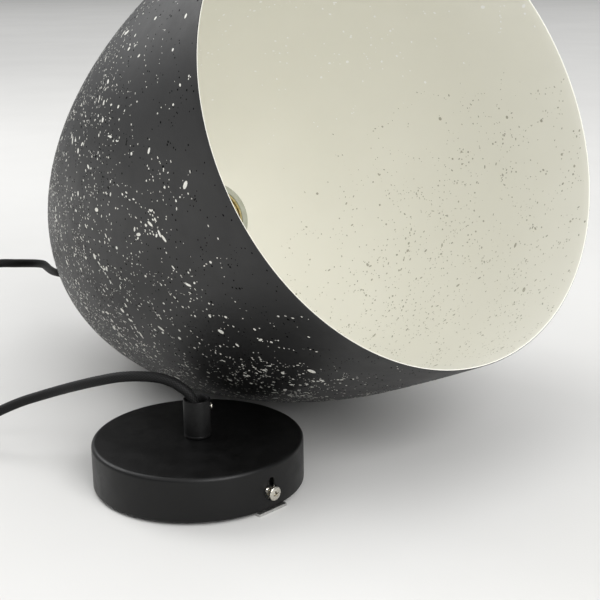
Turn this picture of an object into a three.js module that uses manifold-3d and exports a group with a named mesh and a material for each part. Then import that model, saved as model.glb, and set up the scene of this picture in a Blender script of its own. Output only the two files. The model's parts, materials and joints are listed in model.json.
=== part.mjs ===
// A pendant lamp lying on its side beside its ceiling rose. A spun steel shade hangs from a cord grip,
// and holds a screw lampholder on a threaded stem. One textile cord runs from there to the rose.
// Millimetres, +Z up. The table is z = 0, and the origin is under the middle of the shade and the rose.

import * as THREE from 'three';
import { mergeVertices } from 'three/addons/utils/BufferGeometryUtils.js';
import Module from 'manifold-3d';

// Shade
const SHADE_RADIUS = 144; // at its widest ring
const SHADE_MOUTH_RADIUS = 142.5;
const SHADE_SKIRT = 77; // mouth to widest ring
const SHADE_DOME = 273; // widest ring to the tip of the dome's curve
const DOME_FULLNESS = 1.88; // 2 is an ellipse
const SHADE_WALL = 1;
const SEAT_RADIUS = 16; // flat on top of the dome, under the cord grip
const SHADE_AZIMUTH = 40.1; // degrees the mouth faces away from -Y towards +X
const SHADE_TILT = 24.3; // degrees the mouth faces up
const SHADE_SEAT_X = -142.1;
const SHADE_SEAT_Y = 160.1;

// Threaded tubes, nuts and washers (M10 x 1)
const THREAD_RADIUS = 4.9;
const THREAD_WALL = 0.9;
const NUT_FLATS = 14;
const NUT_THICKNESS = 4;
const WASHER_THICKNESS = 1.5;
const SHADE_WASHER_RADIUS = 13;
const ROSE_WASHER_RADIUS = 9;

// Cord grips
const GRIP_RADIUS = 7.7;
const GRIP_HEIGHT = 22;
const GRIP_EDGE = 0.5; // bevel round the top
const GRIP_BORE = 5.6;
const GRIP_FLARE = 0.9; // the bore opens out at its mouth
const GRIP_THREAD_DEPTH = 8;
const GRIP_SCREW_RADIUS = 1.9;
const GRIP_SCREW_LENGTH = 6.4;
const GRIP_SCREW_DROP = 5.6; // its middle below the grip's top
const GRIP_SCREW_AZIMUTH = 20; // on the rose, degrees from +X
const GRIP_CLAMP_PUSH = 1.1; // how far the screw holds the cord off the bore's middle
const SLOT_WIDTH = 0.8;
const SLOT_DEPTH = 1;

// Lampholder
const STEM_DROP = 77; // stem's end below the shade's seat
const HOLDER_FRONT = 141.7; // ring's face below the shade's seat
const HOLDER_WALL = 0.9;
const HOLDER_LIP = 0.6; // the shell's front edge turns in by this
const HOLDER_SHELL_LENGTH = 37;
const CAP_NECK_RADIUS = 8;
const CAP_NECK_LENGTH = 9;
const CAP_SHOULDER = 13; // neck to full width
const CAP_SKIRT = 11;
const CORE_THICKNESS = 14;
const CORE_SETBACK = 2; // core's back below the top of the cap's skirt
const LINER_WALL = 2.6;
const LINER_CLEARANCE = 0.8; // round the screw shell
const LINER_SETBACK = 2; // liner's edge behind the shell's lip
const SCREW_SHELL_RADIUS = 14.4;
const SCREW_SHELL_WALL = 0.7;
const SCREW_SHELL_LENGTH = 24;
const SCREW_SHELL_LIP = 4; // open width round the centre contact, at the back
const RING_WIDTH = 4.7; // across its face
const RING_LENGTH = 10;
const RING_EDGE = 0.8;
const RING_WASHER_THICKNESS = 1.2;
const RING_WASHER_INSET = 1;
const CONTACT_RADIUS = 3.6;
const CONTACT_HEAD = 2;
const CONTACT_EDGE = 1;
const CONTACT_PIN_RADIUS = 1.6;
const CONTACT_PIN_DEPTH = 10; // into the core
const CONTACT_STANDOFF = 4.5;
const TERMINAL_SIZE = 6;
const TERMINAL_OFFSET = 9.5;

// Rose
const ROSE_RADIUS = 60;
const ROSE_HEIGHT = 25;
const ROSE_WALL = 1;
const ROSE_FILLET = 2.5;
const ROSE_AHEAD = 262.81; // its middle past the shade's seat, towards the mouth
const ROSE_TUCK = 86.36; // how far its rim reaches in under the shade's widest ring
const BRACKET_WIDTH = 20;
const BRACKET_THICKNESS = 1.5;
const BRACKET_OVERHANG = 1.2; // the strip's ends reach out under the rim
const BRACKET_EAR_CLEARANCE = 5; // ears to the cover's inside
const BRACKET_EAR_HEIGHT = 18;
const BRACKET_SLOT_LENGTH = 14;
const BRACKET_SLOT_WIDTH = 5;
const BRACKET_SLOT_INSET = 7.5; // from the ears
const SIDE_SCREW_AZIMUTH = 45; // degrees from -Y towards +X; the second one is opposite
const SIDE_SCREW_HEIGHT = 11;
const SIDE_SCREW_RADIUS = 1.9;
const SIDE_SCREW_LENGTH = 12;
const SIDE_HEAD_RADIUS = 3.9;
const SIDE_HEAD_HEIGHT = 2.6;
const SIDE_HEAD_CROWN = 1.8; // height of the head's rounding
const CROSS_LENGTH = 4.4;
const CROSS_WIDTH = 1;
const CROSS_DEPTH = 1.5;
const SIDE_HOLE_RADIUS = 4.6;
const SIDE_SLOT_CLEARANCE = 0.4; // keyhole's slot round the screw
const SIDE_SLOT_RISE = 6.2; // round end of the keyhole's slot above its hole's centre
const LOCK_WASHER_RADIUS = 3.9;
const LOCK_WASHER_THICKNESS = 0.7;
const LOCK_TOOTH = 0.9;
const LOCK_TEETH = 10;
const BLOCK_LENGTH = 19;
const BLOCK_WIDTH = 16;
const BLOCK_HEIGHT = 12;
const BLOCK_OFFSET = 22; // from the rose's middle, along the bracket
const BLOCK_ROWS = 3; // live, earth and neutral
const BLOCK_WIRE_HOLE = 3.4;
const BLOCK_WIRE_HEIGHT = 4.5; // holes above the block's foot
const BLOCK_SCREW_RADIUS = 1.6;
const BLOCK_SCREW_OFFSET = 4; // back from the block's middle
const EARTH_SCREW_OFFSET = 22;

// Cord
const CORD_RADIUS = 3;
const CORE_RADIUS = 1.1;
const COIL_MEAN_RADIUS = 34;
const COIL_TURNS_ACROSS = 3;
const COIL_LAYERS = 2;
const COIL_X = -261;
const COIL_Y = -22;
const TIE_WIDTH = 9;
const TIE_THICKNESS = 0.7;

// Fits
const GAP = 0.3; // between neighbours
const ROUND = 48; // sides of a large turned piece
const DOME_STEPS = 12;
const SKIRT_STEPS = 3;
const SMALL_ROUND = 24;
const SCREW_ROUND = 12;
const WIRE_ROUND = 8;
const CORD_SIDES = 10;
const WIRE_STEP = 2.5; // length of one straight piece of a wire

const wasm = await Module();
wasm.setup();

const degrees = (angle) => (angle * Math.PI) / 180;

// Turns a closed outline of [radius, height] points about Z. Counter-clockwise outlines face out.
function turned(outline, sides = SMALL_ROUND) {
  let area = 0;
  outline.forEach(([r, z], i) => {
    const [nextR, nextZ] = outline[(i + 1) % outline.length];
    area += r * nextZ - nextR * z;
  });
  const points = outline.map(([r, z]) => new THREE.Vector2(r, z));
  if (area < 0) points.reverse();
  if (!onAxis(points)) points.push(points[0].clone());
  return new THREE.LatheGeometry(points, sides).rotateX(Math.PI / 2);
}

// An outline that starts and ends on the axis is open along it; any other closes on itself.
function onAxis(points) {
  return points[0].x === 0 && points[points.length - 1].x === 0;
}

const rod = (radius, low, high, sides = SMALL_ROUND) =>
  turned([[0, low], [radius, low], [radius, high], [0, high]], sides);

const sleeve = (inner, outer, low, high, sides = SMALL_ROUND) =>
  turned([[inner, low], [outer, low], [outer, high], [inner, high]], sides);

const block = (x, y, z) => new THREE.BoxGeometry(x, y, z);

function solid(geometry) {
  const bare = geometry.index ? geometry.toNonIndexed() : geometry.clone();
  bare.deleteAttribute('normal');
  bare.deleteAttribute('uv');
  const merged = mergeVertices(bare, 1e-4);
  const vertProperties = merged.attributes.position.array;
  const triVerts = new Uint32Array(merged.index.array);
  return new wasm.Manifold(new wasm.Mesh({ numProp: 3, vertProperties, triVerts }));
}

function surface(body) {
  const made = body.getMesh();
  const geometry = new THREE.BufferGeometry();
  geometry.setAttribute('position', new THREE.BufferAttribute(made.vertProperties, 3));
  geometry.setIndex(new THREE.BufferAttribute(made.triVerts, 1));
  return geometry;
}

const cut = (geometry, ...tools) =>
  surface(tools.reduce((body, tool) => body.subtract(solid(tool)), solid(geometry)));

const join = (geometry, ...others) =>
  surface(others.reduce((body, other) => body.add(solid(other)), solid(geometry)));

// A round tube through points, as a spline with even steps.
function tube(points, radius, step, sides = CORD_SIDES) {
  const path = new THREE.CatmullRomCurve3(points.map((p) => new THREE.Vector3(...p)), false, 'centripetal');
  const section = new THREE.Shape();
  for (let i = 0; i < sides; i += 1) {
    const angle = (2 * Math.PI * i) / sides;
    const corner = [radius * Math.cos(angle), radius * Math.sin(angle)];
    if (i === 0) section.moveTo(...corner);
    else section.lineTo(...corner);
  }
  section.closePath();
  const steps = Math.ceil(path.getLength() / step);
  return new THREE.ExtrudeGeometry(section, { steps, extrudePath: path, bevelEnabled: false });
}

const finish = {
  charcoal: [0x2f2f30, 0.6, 0.2],
  black: [0x1b1b1c, 0.5, 0.1],
  nylon: [0x151515, 0.45, 0],
  textile: [0x141414, 0.9, 0],
  zinc: [0xb9bab5, 0.35, 0.9],
  nickel: [0xc9c4b4, 0.25, 1],
  brass: [0xc9a253, 0.3, 1],
  grey: [0xa7ab9f, 0.5, 0],
  porcelain: [0xe9e6dc, 0.3, 0],
  brown: [0x5a3218, 0.5, 0],
  blue: [0x2a5fa8, 0.5, 0],
  green: [0x6fa52e, 0.5, 0],
};

function part(name, geometry, look) {
  const [color, roughness, metalness] = finish[look];
  const mesh = new THREE.Mesh(geometry, new THREE.MeshStandardMaterial({ color, roughness, metalness }));
  mesh.name = name;
  return mesh;
}

// ---- Pieces that both ends of the cord share ----

// A hexagon nut from low upwards, clear of the tube that it is on.
function nut(low) {
  const corner = NUT_FLATS / 2 / Math.cos(degrees(30));
  const bore = rod(THREAD_RADIUS + GAP, low - 1, low + NUT_THICKNESS + 1);
  return cut(rod(corner, low, low + NUT_THICKNESS, 6), bore);
}

const washer = (radius, low) =>
  sleeve(THREAD_RADIUS + GAP, radius, low, low + WASHER_THICKNESS);

const threadedTube = (low, high) => sleeve(THREAD_RADIUS - THREAD_WALL, THREAD_RADIUS, low, high);

const gripScrewHeight = GRIP_HEIGHT - GRIP_SCREW_DROP;

// The grip stands on z = 0: a threaded base, and a wider bore where a side screw clamps the cord.
function grip() {
  const threadTop = GRIP_THREAD_DEPTH + GAP;
  const body = turned([
    [THREAD_RADIUS + GAP, 0],
    [GRIP_RADIUS, 0],
    [GRIP_RADIUS, GRIP_HEIGHT - GRIP_EDGE],
    [GRIP_RADIUS - GRIP_EDGE, GRIP_HEIGHT],
    [GRIP_BORE + GRIP_FLARE, GRIP_HEIGHT],
    [GRIP_BORE, GRIP_HEIGHT - 3 * GRIP_FLARE],
    [GRIP_BORE, threadTop],
    [THREAD_RADIUS + GAP, threadTop],
  ]);
  const hole = rod(GRIP_SCREW_RADIUS + GAP, CORD_RADIUS, 2 * GRIP_RADIUS, SCREW_ROUND).rotateY(Math.PI / 2);
  return cut(body, hole.translate(0, 0, gripScrewHeight));
}

// The clamp screw lies along +X, with a slot across its outer end. It pushes the cord off the middle.
function gripScrew() {
  const tip = CORD_RADIUS - GRIP_CLAMP_PUSH + GAP;
  const end = tip + GRIP_SCREW_LENGTH;
  const screw = rod(GRIP_SCREW_RADIUS, tip, end, SCREW_ROUND).rotateY(Math.PI / 2);
  const slot = block(2 * SLOT_DEPTH, 4 * GRIP_SCREW_RADIUS, SLOT_WIDTH).translate(end, 0, 0);
  return cut(screw, slot).translate(0, 0, gripScrewHeight);
}

// The sheathed end of the cord, through a threaded tube and into the grip's base.
const lead = (low, high) => rod(CORD_RADIUS, low, high, SCREW_ROUND);

// ---- Shade and lampholder, in the frame they hang in: seat at z = 0, mouth below ----

const seatRise = SHADE_DOME * (1 - (SEAT_RADIUS / SHADE_RADIUS) ** DOME_FULLNESS) ** (1 / DOME_FULLNESS);

// The dome's curve from the seat's edge to the widest ring, set in by a wall.
function domeOutline(inset, steps) {
  const across = SHADE_RADIUS - inset;
  const along = SHADE_DOME - inset;
  const seat = Math.asin((seatRise / SHADE_DOME) ** (DOME_FULLNESS / 2));
  return Array.from({ length: steps + 1 }, (unused, i) => {
    const angle = seat * (1 - i / steps);
    const radius = across * Math.cos(angle) ** (2 / DOME_FULLNESS);
    const rise = along * Math.sin(angle) ** (2 / DOME_FULLNESS);
    return [radius, rise - seatRise];
  });
}

// Below its widest ring the shade draws in a little towards the mouth.
function skirtOutline(inset, steps) {
  return Array.from({ length: steps }, (unused, i) => {
    const share = (i + 1) / steps;
    const drawIn = (SHADE_RADIUS - SHADE_MOUTH_RADIUS) * share ** 2;
    return [SHADE_RADIUS - inset - drawIn, -seatRise - SHADE_SKIRT * share];
  });
}

function shade() {
  const hole = THREAD_RADIUS + GAP;
  const outside = [...domeOutline(0, DOME_STEPS), ...skirtOutline(0, SKIRT_STEPS)];
  const inside = [...domeOutline(SHADE_WALL, DOME_STEPS), ...skirtOutline(SHADE_WALL, SKIRT_STEPS)].reverse();
  inside[inside.length - 1][1] = -SHADE_WALL;
  outside[0][1] = 0;
  return turned([[hole, 0], ...outside, ...inside, [hole, -SHADE_WALL]], ROUND);
}

const linerOuter = SCREW_SHELL_RADIUS + LINER_CLEARANCE + LINER_WALL;
const holderRadius = linerOuter + GAP + HOLDER_WALL;
const ringRadius = holderRadius + GAP + RING_WIDTH;
const holderShellTop = -HOLDER_FRONT + HOLDER_SHELL_LENGTH;
const capTop = holderShellTop + CAP_SKIRT + CAP_SHOULDER + CAP_NECK_LENGTH;

// A threaded neck, a round shoulder and a skirt that the shell screws into.
function holderCap() {
  const outer = holderRadius + GAP + HOLDER_WALL;
  const neckLow = capTop - CAP_NECK_LENGTH;
  const skirtTop = neckLow - CAP_SHOULDER;
  const shoulder = (inset) => Array.from({ length: 7 }, (unused, i) => {
    const angle = degrees(15 * i);
    const across = outer - CAP_NECK_RADIUS;
    return [
      CAP_NECK_RADIUS - inset + across * Math.sin(angle),
      skirtTop + (CAP_SHOULDER - inset) * Math.cos(angle),
    ];
  });
  const low = holderShellTop + GAP;
  return turned([
    [THREAD_RADIUS + GAP, capTop],
    [CAP_NECK_RADIUS, capTop],
    ...shoulder(0),
    [outer, low],
    [outer - HOLDER_WALL, low],
    ...shoulder(HOLDER_WALL).reverse(),
    [THREAD_RADIUS + GAP, neckLow - HOLDER_WALL],
  ]);
}

// The brass-plated shell ends in a lip that turns in at the front.
function holderShell() {
  const front = -HOLDER_FRONT;
  const inner = holderRadius - HOLDER_WALL;
  return turned([
    [inner, holderShellTop],
    [holderRadius, holderShellTop],
    [holderRadius, front + HOLDER_LIP],
    [holderRadius - HOLDER_LIP, front],
    [inner - HOLDER_LIP, front],
    [inner, front + HOLDER_LIP],
  ], ROUND);
}

const coreTop = holderShellTop + CAP_SKIRT - CORE_SETBACK;
const coreLow = coreTop - CORE_THICKNESS;
const linerLow = -HOLDER_FRONT + LINER_SETBACK;

// The porcelain core carries the contacts; a hole in its middle takes the centre contact's pin.
const holderCore = () => sleeve(CONTACT_PIN_RADIUS + GAP, linerOuter, coreLow, coreTop);

const holderLiner = () => sleeve(linerOuter - LINER_WALL, linerOuter, linerLow, coreLow - GAP);

// The lamp's screw shell: open at the front, turned in at the back round the centre contact.
function screwShell() {
  const high = coreLow - GAP;
  const low = high - SCREW_SHELL_LENGTH;
  const inner = SCREW_SHELL_RADIUS - SCREW_SHELL_WALL;
  const backHole = CONTACT_RADIUS + SCREW_SHELL_LIP;
  return turned([
    [SCREW_SHELL_RADIUS, low],
    [SCREW_SHELL_RADIUS, high],
    [backHole, high],
    [backHole, high - SCREW_SHELL_WALL],
    [inner, high - SCREW_SHELL_WALL],
    [inner, low],
  ]);
}

// A domed head on a pin that slides back into the core.
function centreContact() {
  const face = coreLow - CONTACT_STANDOFF;
  const back = coreLow + CONTACT_PIN_DEPTH;
  return turned([
    [0, face],
    [CONTACT_RADIUS - CONTACT_EDGE, face],
    [CONTACT_RADIUS, face + CONTACT_EDGE],
    [CONTACT_RADIUS, face + CONTACT_HEAD],
    [CONTACT_PIN_RADIUS, face + CONTACT_HEAD],
    [CONTACT_PIN_RADIUS, back],
    [0, back],
  ]);
}

// The ring screws on the shell from the front; its washer lies behind it.
function retainingRing() {
  const front = -HOLDER_FRONT;
  const inner = holderRadius + GAP;
  return turned([
    [inner, front],
    [ringRadius - RING_EDGE, front],
    [ringRadius, front + RING_EDGE],
    [ringRadius, front + RING_LENGTH],
    [inner, front + RING_LENGTH],
  ], ROUND);
}

function ringWasher() {
  const low = -HOLDER_FRONT + RING_LENGTH + GAP;
  return sleeve(holderRadius + GAP, ringRadius - RING_WASHER_INSET, low, low + RING_WASHER_THICKNESS, ROUND);
}

// A brass block with a hole for the wire in its back.
function terminal(side) {
  const height = coreTop + GAP + TERMINAL_SIZE / 2;
  const body = block(TERMINAL_SIZE, TERMINAL_SIZE, TERMINAL_SIZE);
  const wireHole = rod(CORE_RADIUS + GAP, 0, TERMINAL_SIZE, WIRE_ROUND);
  return cut(body, wireHole).translate(side * TERMINAL_OFFSET, 0, height);
}

// The sheath is stripped just past the stem's end.
const sheathEnd = -STEM_DROP - 1;

// An insulated wire from the end of the sheath to a terminal. It leaves beside its neighbour.
function holderWire(side) {
  const start = sheathEnd - GAP;
  const end = coreTop + GAP + TERMINAL_SIZE / 2 + GAP;
  const x = side * TERMINAL_OFFSET;
  const beside = side * (CORE_RADIUS + GAP);
  return tube([
    [beside, 0, start],
    [1.5 * beside, 0, start - WIRE_STEP],
    [0.6 * x, 0, (start + end) / 2 + 1],
    [x, 0, end + TERMINAL_SIZE],
    [x, 0, end],
  ], CORE_RADIUS, WIRE_STEP, WIRE_ROUND);
}

function hangingParts() {
  const group = new THREE.Group();
  const nutTop = -SHADE_WALL - GAP - WASHER_THICKNESS - GAP;
  const lockNutLow = capTop + GAP;
  group.add(
    part('shade', shade(), 'charcoal'),
    part('shade_cord_grip', grip().translate(0, 0, GAP), 'nylon'),
    part('shade_grip_screw', gripScrew().translate(0, 0, GAP), 'nickel'),
    part('shade_stem', threadedTube(-STEM_DROP, GRIP_THREAD_DEPTH), 'zinc'),
    part('shade_washer', washer(SHADE_WASHER_RADIUS, nutTop + GAP), 'zinc'),
    part('shade_nut', nut(nutTop - NUT_THICKNESS), 'zinc'),
    part('stem_lock_nut', nut(lockNutLow), 'zinc'),
    part('shade_lead', lead(sheathEnd, GRIP_THREAD_DEPTH), 'textile'),
    part('lampholder_cap', holderCap(), 'brass'),
    part('lampholder_shell', holderShell(), 'brass'),
    part('lampholder_core', holderCore(), 'porcelain'),
    part('lampholder_liner', holderLiner(), 'porcelain'),
    part('screw_shell', screwShell(), 'brass'),
    part('centre_contact', centreContact(), 'brass'),
    part('live_terminal', terminal(1), 'brass'),
    part('neutral_terminal', terminal(-1), 'brass'),
    part('holder_live_wire', holderWire(1), 'brown'),
    part('holder_neutral_wire', holderWire(-1), 'blue'),
    part('retaining_ring', retainingRing(), 'grey'),
    part('ring_washer', ringWasher(), 'black'),
  );
  return group;
}

// The seat's height at which the tilted shade just touches the table.
function seatHeight() {
  const rise = Math.sin(degrees(SHADE_TILT));
  const level = Math.cos(degrees(SHADE_TILT));
  const outline = [...domeOutline(0, DOME_STEPS * 30), ...skirtOutline(0, SKIRT_STEPS * 30)];
  const lowest = Math.min(...outline.map(([r, z]) => -z * rise - r * level));
  return -lowest;
}

function laidDown(hanging) {
  const azimuth = degrees(SHADE_AZIMUTH);
  const tilt = degrees(SHADE_TILT);
  hanging.rotation.set(-(tilt + Math.PI / 2), 0, azimuth, 'ZXY');
  hanging.position.set(SHADE_SEAT_X, SHADE_SEAT_Y, seatHeight());
  return hanging;
}

// ---- Rose, in its own frame: middle of its open side at the origin ----

const coverLow = BRACKET_THICKNESS + GAP;
const coverTop = coverLow + ROSE_HEIGHT;

// A keyhole through the cover's side, along +X: a round hole with a slot above it.
function keyhole() {
  const depth = 3 * ROSE_WALL;
  const slotRadius = SIDE_SCREW_RADIUS + SIDE_SLOT_CLEARANCE;
  const slotTop = SIDE_SCREW_HEIGHT + SIDE_SLOT_RISE;
  const hole = (radius, height) =>
    rod(radius, ROSE_RADIUS - depth, ROSE_RADIUS + depth).rotateY(Math.PI / 2).translate(0, 0, height);
  const slot = block(2 * depth, 2 * slotRadius, SIDE_SLOT_RISE)
    .translate(ROSE_RADIUS, 0, SIDE_SCREW_HEIGHT + SIDE_SLOT_RISE / 2);
  return join(hole(SIDE_HOLE_RADIUS, SIDE_SCREW_HEIGHT), slot, hole(slotRadius, slotTop));
}

function roseCover() {
  const arc = (radius) => Array.from({ length: 5 }, (unused, i) => {
    const angle = degrees(22.5 * i);
    const middle = [ROSE_RADIUS - ROSE_FILLET, coverTop - ROSE_FILLET];
    return [middle[0] + radius * Math.cos(angle), middle[1] + radius * Math.sin(angle)];
  });
  const hole = THREAD_RADIUS + GAP;
  const body = turned([
    [ROSE_RADIUS, coverLow],
    ...arc(ROSE_FILLET),
    [hole, coverTop],
    [hole, coverTop - ROSE_WALL],
    ...arc(ROSE_FILLET - ROSE_WALL).reverse(),
    [ROSE_RADIUS - ROSE_WALL, coverLow],
  ], ROUND);
  return cut(body, keyhole(), keyhole().rotateZ(Math.PI));
}

// A strip under the rim with two upright ears inside it, and slots for the ceiling's screws.
function bracket() {
  const reach = ROSE_RADIUS + BRACKET_OVERHANG;
  const strip = block(2 * reach, BRACKET_WIDTH, BRACKET_THICKNESS).translate(0, 0, BRACKET_THICKNESS / 2);
  const earInner = ROSE_RADIUS - ROSE_WALL - BRACKET_EAR_CLEARANCE - BRACKET_THICKNESS;
  const slotMiddle = earInner - BRACKET_SLOT_INSET - BRACKET_SLOT_LENGTH / 2;
  const ear = (side) => block(BRACKET_THICKNESS, BRACKET_WIDTH, BRACKET_EAR_HEIGHT)
    .translate(side * (earInner + BRACKET_THICKNESS / 2), 0, BRACKET_EAR_HEIGHT / 2);
  const screwHole = rod(SIDE_SCREW_RADIUS + GAP, -reach, reach, SCREW_ROUND).rotateY(Math.PI / 2)
    .translate(0, 0, SIDE_SCREW_HEIGHT);
  const slot = (side) => block(BRACKET_SLOT_LENGTH, BRACKET_SLOT_WIDTH, 4 * BRACKET_THICKNESS)
    .translate(side * slotMiddle, 0, 0);
  const earthHole = rod(SIDE_SCREW_RADIUS + GAP, -BRACKET_THICKNESS, 2 * BRACKET_THICKNESS, SCREW_ROUND)
    .translate(-EARTH_SCREW_OFFSET, 0, 0);
  const blank = join(strip, ear(1), ear(-1));
  return cut(blank, screwHole, slot(1), slot(-1), earthHole);
}

const lockWasherInner = ROSE_RADIUS + GAP;
const sideHeadInner = lockWasherInner + LOCK_WASHER_THICKNESS + GAP;

// A pan head with a cross recess, along +X.
function sideScrew() {
  const low = sideHeadInner;
  const high = low + SIDE_HEAD_HEIGHT;
  const blank = turned([
    [0, high],
    [SIDE_HEAD_RADIUS - 0.8 * SIDE_HEAD_CROWN, high],
    [SIDE_HEAD_RADIUS - 0.25 * SIDE_HEAD_CROWN, high - 0.25 * SIDE_HEAD_CROWN],
    [SIDE_HEAD_RADIUS, high - SIDE_HEAD_CROWN],
    [SIDE_HEAD_RADIUS, low],
    [SIDE_SCREW_RADIUS, low],
    [SIDE_SCREW_RADIUS, low - SIDE_SCREW_LENGTH],
    [0, low - SIDE_SCREW_LENGTH],
  ]);
  const recess = (x, y) => block(x, y, 2 * CROSS_DEPTH).translate(0, 0, high);
  const screw = cut(blank, recess(CROSS_LENGTH, CROSS_WIDTH), recess(CROSS_WIDTH, CROSS_LENGTH));
  return screw.rotateY(Math.PI / 2).translate(0, 0, SIDE_SCREW_HEIGHT);
}

// An external-tooth lock washer on the screw.
function lockWasher() {
  const shape = new THREE.Shape();
  const root = LOCK_WASHER_RADIUS - LOCK_TOOTH;
  for (let i = 0; i < 2 * LOCK_TEETH; i += 1) {
    const radius = i % 2 === 0 ? LOCK_WASHER_RADIUS : root;
    const angle = (Math.PI * i) / LOCK_TEETH;
    const corner = [radius * Math.cos(angle), radius * Math.sin(angle)];
    if (i === 0) shape.moveTo(...corner);
    else shape.lineTo(...corner);
  }
  shape.closePath();
  const blank = new THREE.ExtrudeGeometry(shape, { depth: LOCK_WASHER_THICKNESS, bevelEnabled: false });
  const bore = rod(SIDE_SCREW_RADIUS + GAP, -LOCK_WASHER_THICKNESS, 2 * LOCK_WASHER_THICKNESS, SCREW_ROUND);
  return cut(blank, bore).rotateY(Math.PI / 2).translate(lockWasherInner, 0, SIDE_SCREW_HEIGHT);
}

const blockLow = BRACKET_THICKNESS + GAP;
const blockRow = (row) => (BLOCK_LENGTH / BLOCK_ROWS) * (row - 1);

// The terminal block stands on the bracket. Each row has a wire hole through it and a screw hole above.
function terminalBlock() {
  const body = block(BLOCK_WIDTH, BLOCK_LENGTH, BLOCK_HEIGHT)
    .translate(BLOCK_OFFSET, 0, blockLow + BLOCK_HEIGHT / 2);
  const holes = [0, 1, 2].flatMap((row) => [
    block(2 * BLOCK_WIDTH, BLOCK_WIRE_HOLE, BLOCK_WIRE_HOLE)
      .translate(BLOCK_OFFSET, blockRow(row), blockLow + BLOCK_WIRE_HEIGHT),
    rod(BLOCK_SCREW_RADIUS, blockLow + BLOCK_WIRE_HEIGHT, blockLow + 2 * BLOCK_HEIGHT, SCREW_ROUND)
      .translate(BLOCK_OFFSET - BLOCK_SCREW_OFFSET, blockRow(row), 0),
  ]);
  return cut(body, ...holes);
}

// A wire from the sheath's end under the cover's middle into a row of the terminal block.
function roseWire(row) {
  const y = blockRow(row);
  const start = roseLeadLow - GAP;
  const height = blockLow + BLOCK_WIRE_HEIGHT;
  const angle = degrees(120 * (row - 1));
  const x = BLOCK_OFFSET - BLOCK_WIDTH / 2;
  const beside = CORE_RADIUS + 1.5 * GAP;
  return tube([
    [beside * Math.cos(angle), beside * Math.sin(angle), start],
    [1.2 * beside * Math.cos(angle), 1.2 * beside * Math.sin(angle), start - WIRE_STEP],
    [0.45 * x, 0.7 * y, height + CORE_RADIUS],
    [x - BLOCK_WIRE_HOLE, y, height],
    [x + BLOCK_WIRE_HOLE / 2, y, height],
  ], CORE_RADIUS, WIRE_STEP, WIRE_ROUND);
}

const roseNutTop = coverTop - ROSE_WALL - GAP - WASHER_THICKNESS - GAP;
const roseNippleLow = roseNutTop - NUT_THICKNESS - 1;
const roseLeadLow = roseNippleLow - 2;

function rosePieces() {
  const turn = new THREE.Group();
  turn.add(part('rose_bracket', bracket(), 'zinc'));
  turn.add(part('terminal_block', terminalBlock(), 'porcelain'));
  turn.add(part('rose_live_wire', roseWire(0), 'brown'));
  turn.add(part('rose_neutral_wire', roseWire(2), 'blue'));
  turn.add(part('rose_earth_wire', roseWire(1), 'green'));
  turn.add(part('rose_cover', roseCover(), 'black'));
  ['front', 'back'].forEach((place, i) => {
    const side = new THREE.Group();
    side.rotation.z = i * Math.PI;
    side.add(part(`${place}_side_screw`, sideScrew(), 'nickel'));
    side.add(part(`${place}_lock_washer`, lockWasher(), 'nickel'));
    turn.add(side);
  });
  turn.rotation.z = degrees(SIDE_SCREW_AZIMUTH - 90);
  return turn;
}

function rose() {
  const group = new THREE.Group();
  group.add(rosePieces());
  const gripLow = coverTop + GAP;
  const threadTop = gripLow + GRIP_THREAD_DEPTH;
  const gripPieces = new THREE.Group();
  gripPieces.rotation.z = degrees(GRIP_SCREW_AZIMUTH);
  gripPieces.add(
    part('rose_cord_grip', grip().translate(0, 0, gripLow), 'nylon'),
    part('rose_grip_screw', gripScrew().translate(0, 0, gripLow), 'nickel'),
  );
  group.add(
    gripPieces,
    part('rose_nipple', threadedTube(roseNippleLow, threadTop), 'zinc'),
    part('rose_washer', washer(ROSE_WASHER_RADIUS, roseNutTop + GAP), 'zinc'),
    part('rose_nut', nut(roseNutTop - NUT_THICKNESS), 'zinc'),
    part('rose_lead', lead(roseLeadLow, threadTop), 'textile'),
  );
  const aside = SHADE_RADIUS + ROSE_RADIUS - ROSE_TUCK;
  const azimuth = degrees(SHADE_AZIMUTH);
  group.position.set(
    SHADE_SEAT_X + ROSE_AHEAD * Math.sin(azimuth) - aside * Math.cos(azimuth),
    SHADE_SEAT_Y - ROSE_AHEAD * Math.cos(azimuth) - aside * Math.sin(azimuth),
    0,
  );
  return group;
}

// ---- Cord: out of the shade's grip, down to a coil on the table, and over to the rose ----

const SHADE_RUN = [
  [-147.1, 166.1, 53.8], [-150.4, 168.6, 52], [-153.7, 171.2, 50.1], [-156.7, 174, 48.2],
  [-161.5, 178.6, 45.4], [-165.5, 182.8, 43], [-172.5, 186.8, 41.2], [-182.5, 187.5, 41.5],
  [-192, 182.5, 43.8], [-198.5, 172, 48.5], [-199.5, 158, 54.5], [-198, 141, 61],
  [-196.5, 124, 67], [-197, 107, 72], [-200, 92, 76], [-206.5, 80.5, 79],
  [-217, 74.5, 80.5], [-230, 71, 78.5], [-244, 66.5, 72.5], [-258, 58.5, 62.5],
  [-272, 47, 49], [-284, 33, 35.5], [-293.5, 18, 23.5], [-299, 7, 15.5], [-300.8, 1, 12.3],
];

const ROSE_RUN = [
  [-62.8, -116.7, 35.6], [-62.9, -116.7, 37.4], [-63.5, -117, 40.5], [-64.2, -117.1, 43.8],
  [-64.8, -117.3, 47.5], [-66.5, -117.3, 51.6], [-70.7, -117, 55.4], [-75.8, -116.2, 58.6], [-83, -115.2, 60.8],
  [-92, -114, 61.5], [-105, -111.5, 60.5], [-118, -106.5, 56.8], [-132, -96.5, 50.5],
  [-146, -84, 43], [-159.5, -75.5, 36.5], [-172, -72, 31.5], [-184, -72, 26.5],
  [-197, -70.5, 19.5], [-210, -68, 12], [-224, -64.5, 6], [-238.2, -62.2, 4],
];

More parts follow.
